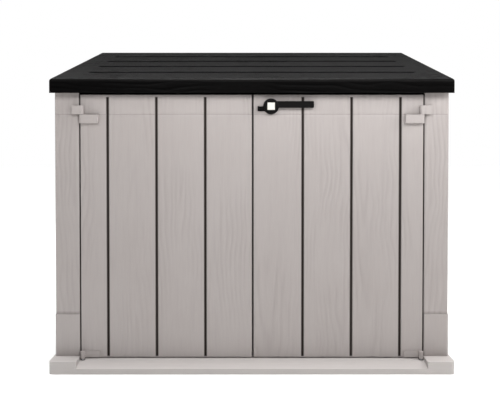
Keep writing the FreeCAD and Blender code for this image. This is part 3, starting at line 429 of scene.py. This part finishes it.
def lid_piece(material):
    """Black planked lid with its rounded edges, embossed planks and deep front."""
    low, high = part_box("lid_shell")
    front_top = low.z + FASCIA
    slope = lid_slope()
    r = LID_EDGE_R

    def top_z(y):
        nose = front_top + NOSE_RISE * (y - low.y) / NOSE_RUN
        return np.minimum(nose, front_top + NOSE_RISE + slope * (y - low.y - NOSE_RUN))

    def low_z(y):
        return low.z + slope * (y - low.y)

    grooves = groove_places(low.y, high.y, LID_PLANK)
    groove_x = high.x - LID_GROOVE_INSET
    ends = [s * (groove_x + d) for s in (-1, 1) for d in (-0.0005, 0.0005)]
    us = lines(low.x + r, high.x - r, GRAIN_RUN, ends)
    vs = lines(low.y + r, high.y - r, GRAIN_STEP, groove_marks(grooves, LID_BEVEL) + [low.y + NOSE_RUN])

    def face(x, y):
        in_groove = between(x, -groove_x, groove_x, 0.001)
        plank, across = plank_of(y, grooves)
        # Painted shade in the grooves and over most of each bevel, cutting their reflection into dark
        # lines across the top.
        shade = groove_shade(y, grooves, LID_BEVEL, 0.7) * in_groove
        rim = np.clip(np.minimum(high.x - np.abs(x), high.y - y) / 0.02 - 0.3, 0, 1)
        rim = rim * np.clip((y - low.y - NOSE_RUN) / 0.01, 0, 1)
        grain = wood_grain(across, x + 0.7, plank, 51) * (1 - shade) * rim
        cut = groove_cut(y, grooves, LID_GROOVE_DEPTH, LID_BEVEL, LID_BEVEL_DEPTH)
        depth = cut * in_groove + LID_GRAIN * grain
        # The deeper grain is darker and less shiny too.
        return xyz(x, y, top_z(y) - depth), np.maximum(shade, 0.3 * grain)

    def grown(x, y, amount):
        return scaled_to(x, low.x + r, high.x - r, -amount), scaled_to(y, low.y + r, high.y - r, -amount)

    def shoulder(turn):
        def ring(x, y):
            gx, gy = grown(x, y, r * math.sin(turn))
            return xyz(gx, gy, top_z(y) - r * (1 - math.cos(turn))), 0.0
        return ring

    def skirt(share):
        def ring(x, y):
            gx, gy = grown(x, y, r)
            shoulder_z = top_z(y) - r
            z = shoulder_z + share * (low_z(gy) - shoulder_z)
            at_front, at_rear = gy < low.y + 1e-6, gy > high.y - 1e-6
            at_side = np.abs(gx) > high.x - 1e-6
            plank = np.where(at_side, 71, np.where(at_rear, 72, 70))
            run = np.where(at_side, gy, gx) + 0.9
            soft = np.clip(min(share, 1 - share) / 0.1, 0, 1) * ~(at_side & (at_front | at_rear))
            grain = wood_grain(z - low.z, run, plank, 61) * soft
            depth = FASCIA_GRAIN * grain
            x_out = gx - np.sign(gx) * depth * at_side
            y_out = gy + depth * at_front - depth * at_rear
            # Painted shade all round the skirt, 0.4, darkening it and cutting its reflection; the deeper
            # grain is darker still.
            return xyz(x_out, y_out, z), 0.4 + 0.3 * grain
        return ring

    def inner(z_of):
        def ring(x, y):
            gx, gy = grown(x, y, r - LID_SKIN)
            # The inner faces get a slight painted shade.
            return xyz(gx, gy, z_of(gy)), 0.1
        return ring

    def ceiling(y):
        return front_top + NOSE_RISE + slope * (y - low.y - NOSE_RUN) - CEILING_DROP

    rings = [shoulder(math.radians(a)) for a in (22.5, 45, 67.5, 90)]
    rings += [skirt(share) for share in np.linspace(0, 1, 15)[1:]]
    rings += [inner(low_z), inner(ceiling)]
    verts, faces, shade = pan(us, vs, face, rings)
    return make_piece("lid_face", verts, faces, shade, "lid", "lid_shell", material)


# Materials


class Shader:
    """Adds and links the nodes of one material."""

    def __init__(self, name):
        self.material = bpy.data.materials.new(name)
        self.material.use_nodes = True
        self.tree = self.material.node_tree
        self.tree.nodes.clear()
        self.surface = self.add("ShaderNodeBsdfPrincipled")
        output = self.add("ShaderNodeOutputMaterial")
        self.tree.links.new(self.surface.outputs[0], output.inputs[0])
        self.coords = self.add("ShaderNodeTexCoord").outputs["Object"]

    def add(self, kind, settings=None, **inputs):
        made = self.tree.nodes.new(kind)
        for key, value in (settings or {}).items():
            setattr(made, key, value)
        for key, value in inputs.items():
            self.put(made.inputs[key.replace("_", " ")], value)
        return made

    def put(self, socket, value):
        if isinstance(value, bpy.types.NodeSocket):
            self.tree.links.new(value, socket)
        else:
            socket.default_value = value

    def noise(self, scale, stretch=(1, 1, 1), detail=4, roughness=0.6):
        """Noise from 0 to 1 over the object, squeezed along each axis."""
        mapped = self.add("ShaderNodeMapping", Vector=self.coords, Scale=stretch)
        sizes = {"Scale": scale, "Detail": detail, "Roughness": roughness}
        return self.add("ShaderNodeTexNoise", Vector=mapped.outputs[0], **sizes).outputs[0]

    def mix(self, factor, first, second):
        """Two colours mixed."""
        made = self.add("ShaderNodeMix", {"data_type": "RGBA"})
        self.put(made.inputs[0], factor)
        self.put(made.inputs[6], first)
        self.put(made.inputs[7], second)
        return made.outputs[2]

    def spread(self, value, low, high, lowest=0.3, highest=0.7):
        """A value moved from one range to another."""
        made = self.add("ShaderNodeMapRange")
        for i, v in enumerate((value, lowest, highest, low, high)):
            self.put(made.inputs[i], v)
        return made.outputs[0]

    def sum(self, *terms):
        """The weighted sum of values."""
        total = None
        for value, weight in terms:
            made = self.add("ShaderNodeMath", {"operation": "MULTIPLY_ADD"})
            self.put(made.inputs[0], value)
            self.put(made.inputs[1], weight)
            self.put(made.inputs[2], 0.0 if total is None else total)
            total = made.outputs[0]
        return total

    def edge(self, radius):
        """1 on sharp edges and 0 on flat faces."""
        rounded = self.add("ShaderNodeBevel", {"samples": 4}, Radius=radius)
        plain = self.add("ShaderNodeNewGeometry")
        dot = self.add("ShaderNodeVectorMath", {"operation": "DOT_PRODUCT"})
        self.put(dot.inputs[0], rounded.outputs[0])
        self.put(dot.inputs[1], plain.outputs["Normal"])
        return self.spread(dot.outputs["Value"], 1.0, 0.0, 0.8, 0.999), rounded.outputs[0]

    def bump(self, height, strength, distance, normal=None):
        """Fine relief fed to the surface's normal."""
        made = self.add("ShaderNodeBump", Height=height, Strength=strength, Distance=distance)
        if normal is not None:
            self.put(made.inputs["Normal"], normal)
        self.put(self.surface.inputs["Normal"], made.outputs[0])


def rgb(hex_code):
    """A linear colour from a six-digit screen colour."""
    values = [int(hex_code[i:i + 2], 16) / 255 for i in (0, 2, 4)]
    return tuple(v / 12.92 if v < 0.04045 else ((v + 0.055) / 1.055) ** 2.4 for v in values) + (1.0,)


def resin(name, colour, dark_tone_and_shade, streak, gloss=0.5, grain_axis="z", eased=False, shine=0.4):
    """Moulded resin: drifting tint, fine streaks along the grain, pores and rubbed edges, and painted
    shade: darker colour and less reflection where the shade attribute is high.
    """
    s = Shader(name)
    stretch = {"z": (1, 1, 0.05), "x": (0.05, 1, 1), "none": (1, 1, 1)}[grain_axis]
    drift = s.noise(2.3, detail=3)
    streaks = s.noise(330, stretch, detail=5, roughness=0.65)
    veins = s.noise(75, stretch, detail=3, roughness=0.5)
    pores = s.noise(1500, detail=2)
    shade = s.add("ShaderNodeAttribute", {"attribute_name": "shade"}).outputs["Fac"]
    tint = s.mix(s.spread(drift, 0.0, 0.6), colour, streak)
    tint = s.mix(s.spread(streaks, 0.0, 0.05), tint, dark_tone_and_shade)
    tint = s.mix(s.spread(veins, 0.0, 0.04, 0.5, 0.75), tint, dark_tone_and_shade)
    # Painted shade: the shade attribute mixes the colour towards the dark tone in grooves, gaps and
    # hollows.
    tint = s.mix(shade, tint, dark_tone_and_shade)
    streaked, drifted = s.spread(streaks, -0.06, 0.08), s.spread(drift, -0.05, 0.05)
    rough = s.sum((streaked, 1.0), (drifted, 1.0), (gloss, 1.0))
    height = s.sum((streaks, 0.5), (veins, 0.35), (pores, 0.25))
    if eased:
        worn, normal = s.edge(0.0016)
        tint = s.mix(s.sum((worn, 0.35)), tint, streak)
        s.bump(height, 0.30, 0.0007, normal)
    else:
        s.bump(height, 0.30, 0.0007)
    s.put(s.surface.inputs["Base Color"], tint)
    s.put(s.surface.inputs["Roughness"], rough)
    if eased:
        s.surface.inputs["Specular IOR Level"].default_value = shine
    else:
        # Painted shade also takes away reflection, all of it where the shade reaches 0.8.
        s.put(s.surface.inputs["Specular IOR Level"], s.spread(shade, shine, 0.0, 0.0, 0.8))
    return s.material


def metal(name, colour, tarnish, gloss):
    """Zinc-plated steel: fine drawn lines, dull spots and bright rubbed edges."""
    s = Shader(name)
    spots = s.noise(160, detail=5)
    drawn = s.noise(900, (1, 1, 0.08), detail=3)
    tint = s.mix(s.spread(spots, 0.0, 0.7), colour, tarnish)
    worn, normal = s.edge(0.0006)
    tint = s.mix(s.sum((worn, 0.5)), tint, rgb("d8d8d8"))
    s.put(s.surface.inputs["Base Color"], tint)
    s.put(s.surface.inputs["Roughness"], s.sum((s.spread(spots, -0.08, 0.12), 1.0), (gloss, 1.0)))
    s.surface.inputs["Metallic"].default_value = 1.0
    s.bump(s.sum((drawn, 0.6), (spots, 0.3)), 0.2, 0.0003, normal)
    return s.material


def finishes():
    """Every material, by the record's slot."""
    # The second colour of each set is the dark tone of streaks and veins and also the colour of painted
    # shade.
    wall, wall_tone_and_shade, wall_warm = rgb("aca5a3"), rgb("2a2523"), rgb("a59d9a")
    base = rgb("b9b4b2"), rgb("6a6461"), rgb("bab4b1")
    fittings = rgb("aaa3a1"), rgb("5f5956"), wall_warm
    liner = rgb("a9a5a2"), rgb("4a4643"), rgb("9f9a96")
    lid = rgb("0b0a0a"), rgb("020202"), rgb("141313")
    lid_inner = rgb("1f1e1e"), rgb("080808"), rgb("242323")
    latch = rgb("090808"), rgb("030303"), rgb("161515")
    cap = rgb("dfdcd5"), rgb("98928a"), rgb("d2cec6")
    rubber = rgb("1c1b1a"), rgb("0c0b0b"), rgb("282625")
    return {
        "base_resin": resin("base_resin", *base, 0.5, "x", True),
        "wall_resin": resin("wall_resin", wall, wall_tone_and_shade, wall_warm, 0.42, "z"),
        "wall_fittings": resin("wall_fittings", *fittings, 0.48, "none", True),
        "liner_resin": resin("liner_resin", *liner, 0.6, "z", True),
        "lid_resin": resin("lid_resin", *lid, 0.3, "x", shine=0.04),
        "lid_inner": resin("lid_inner", *lid_inner, 0.6, "x", True, 0.2),
        "latch_resin": resin("latch_resin", *latch, 0.42, "none", True, 0.08),
        "cap_resin": resin("cap_resin", *cap, 0.35, "none", True),
        "rubber": resin("rubber", *rubber, 0.75, "none", True),
        "steel": metal("steel", rgb("b9bbbd"), rgb("8d9092"), 0.36),
        "screw_steel": metal("screw_steel", rgb("aeb1b4"), rgb("7f8386"), 0.3),
    }


def paint(packed, table):
    """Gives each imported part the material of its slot."""
    slots = {part["node"]: part["material_slot"] for part in packed["record"]["subparts"]}
    fittings = ("bracket", "hinge_block", "pivot_block", "bolt_guides")
    for name, part in packed["nodes"].items():
        slot = slots[name]
        if slot == "wall_resin" and any(word in name for word in fittings):
            slot = "wall_fittings"
        if name == "lid_liner":
            slot = "lid_inner"
        part.data.materials.clear()
        part.data.materials.append(table[slot])


# Stage


def stage_floor():
    """A wide pale floor that the store stands on."""
    size, count = 14.0, 40
    us = np.linspace(-size, size, count)
    x, y = np.meshgrid(us, us, indexing="ij")
    index = np.arange(count * count).reshape(count, count)
    quads = np.stack([index[:-1, :-1], index[1:, :-1], index[1:, 1:], index[:-1, 1:]], -1)
    mesh = bpy.data.meshes.new("floor")
    mesh.from_pydata(xyz(x, y, -0.0005).reshape(-1, 3).tolist(), [], quads.reshape(-1, 4).tolist())
    s = Shader("floor_paper")
    tint = s.mix(s.spread(s.noise(1.5), 0.0, 0.5), rgb("fbfbfa"), rgb("f8f8f7"))
    s.put(s.surface.inputs["Base Color"], tint)
    s.put(s.surface.inputs["Roughness"], s.spread(s.noise(40), 0.75, 0.9))
    s.bump(s.noise(600), 0.05, 0.0002)
    mesh.materials.append(s.material)
    floor = bpy.data.objects.new("floor", mesh)
    bpy.context.scene.collection.objects.link(floor)


def soft_light(name, place, target, size, power):
    """A large soft box aimed at a point."""
    light = bpy.data.lights.new(name, "AREA")
    light.shape = "RECTANGLE"
    light.size, light.size_y = size
    light.energy = power
    lamp = bpy.data.objects.new(name, light)
    lamp.location = place
    lamp.visible_camera = False
    lamp.rotation_euler = (Vector(target) - Vector(place)).to_track_quat("-Z", "Y").to_euler()
    bpy.context.scene.collection.objects.link(lamp)


def studio():
    """Plain soft studio light: bright paper all round and soft boxes above and to the right."""
    world = bpy.data.worlds.new("studio")
    bpy.context.scene.world = world
    world.use_nodes = True
    tree = world.node_tree
    tree.nodes.clear()
    paper = tree.nodes.new("ShaderNodeBackground")
    paper.inputs[1].default_value = WORLD_LIGHT
    seen = tree.nodes.new("ShaderNodeBackground")
    seen.inputs[1].default_value = 1.0
    choice = tree.nodes.new("ShaderNodeMixShader")
    ray = tree.nodes.new("ShaderNodeLightPath")
    output = tree.nodes.new("ShaderNodeOutputWorld")
    for background in (paper, seen):
        background.inputs[0].default_value = (1, 1, 1, 1)
    tree.links.new(ray.outputs["Is Camera Ray"], choice.inputs[0])
    tree.links.new(paper.outputs[0], choice.inputs[1])
    tree.links.new(seen.outputs[0], choice.inputs[2])
    tree.links.new(choice.outputs[0], output.inputs[0])
    sky = bpy.data.lights.new("ceiling", "SUN")
    sky.energy = CEILING_LIGHT
    sky.angle = math.radians(CEILING_SPREAD)
    ceiling = bpy.data.objects.new("ceiling", sky)
    ceiling.location = (0, 0, 4)
    bpy.context.scene.collection.objects.link(ceiling)
    soft_light("front_box", (0.3, -1.05, 1.22), (0.2, -0.33, 1.0), (1.9, 0.25), 10)
    soft_light("right_box", (2.0, -0.8, 1.45), (0.5, -0.33, 0.95), (0.5, 0.7), 18)
    soft_light("left_strip", (-1.9, -1.1, 1.35), (0, -0.33, 1.0), (0.2, 0.8), 5)
    soft_light("high_box", (0, 3.0, 3.7), (0, 0, 1.05), (5.0, 0.5), 28)
    soft_light("rear_box", (0.4, 3.4, 0.9), (0, 0.36, 0.6), (2.6, 1.2), 24)
    bpy.context.scene.view_settings.view_transform = "Standard"


def camera():
    """The camera at the height and distance of the view of the doors."""
    data = bpy.data.cameras.new("camera")
    data.lens = 49.29
    data.sensor_width = 36.0
    data.shift_x, data.shift_y = -0.0037, -0.10
    data.clip_end = 60
    made = bpy.data.objects.new("camera", data)
    made.location = (0.0, -2.585, 0.7686)
    made.rotation_euler = (math.radians(90 - 1.19), 0, 0)
    bpy.context.scene.collection.objects.link(made)
    bpy.context.scene.camera = made


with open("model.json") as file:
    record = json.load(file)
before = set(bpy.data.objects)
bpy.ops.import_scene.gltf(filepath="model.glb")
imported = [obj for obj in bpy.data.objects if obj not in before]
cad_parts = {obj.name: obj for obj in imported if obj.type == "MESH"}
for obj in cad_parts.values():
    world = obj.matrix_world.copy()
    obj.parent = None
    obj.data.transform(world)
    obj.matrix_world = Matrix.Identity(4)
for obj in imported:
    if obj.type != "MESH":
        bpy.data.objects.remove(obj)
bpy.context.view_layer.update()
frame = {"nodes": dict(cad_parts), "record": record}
materials = finishes()
paint(frame, materials)
for door_side in (LEFT, RIGHT):
    door_piece(door_side, materials["wall_resin"])
    side_piece(door_side, materials["wall_resin"])
rear_piece(materials["wall_resin"])
lid_piece(materials["lid_resin"])
stage_floor()
studio()
camera()
